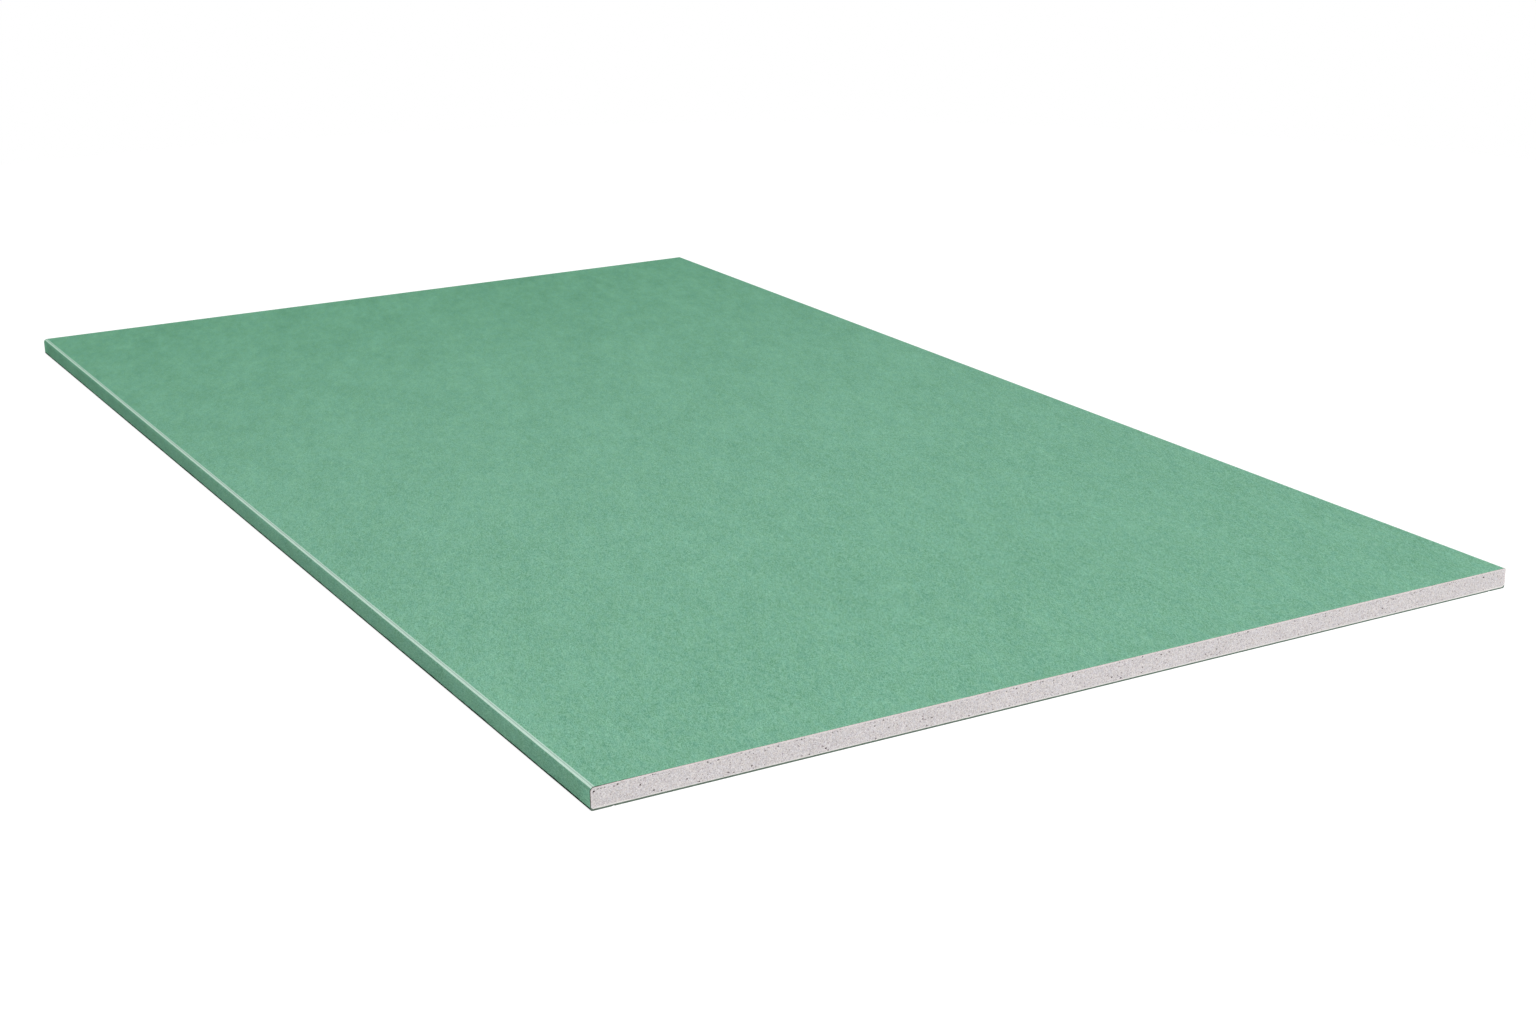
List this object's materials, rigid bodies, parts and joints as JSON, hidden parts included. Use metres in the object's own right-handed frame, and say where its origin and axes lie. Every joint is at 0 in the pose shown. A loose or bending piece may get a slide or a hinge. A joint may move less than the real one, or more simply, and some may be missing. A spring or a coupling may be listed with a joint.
{
  "type": "drywall sheet",
  "caption": "Flat rectangular gypsum board: green face paper folded round the long edges and lapped under the grey back paper, with sawn ends that show the core.",
  "frame": {"origin": "middle of the back, on the plane that the sheet lies on", "axes": "+X across the width, towards one paper-wrapped long edge; +Y along the length, towards one sawn end; +Z out of the green face"},
  "size_m": [0.6, 1.05, 0.0125],
  "materials": {
    "gypsum": "matt, chalky foamed gypsum with fine pores, sawn",
    "green_face_paper": "matt green liner paper with fine fibre and soft mottling",
    "grey_back_paper": "matt grey-green recycled liner paper with short fibres"
  },
  "bodies": {
    "root": {"gypsum_core": "gypsum", "face_paper": "green_face_paper", "back_paper": "grey_back_paper"}
  },
  "joints": []
}
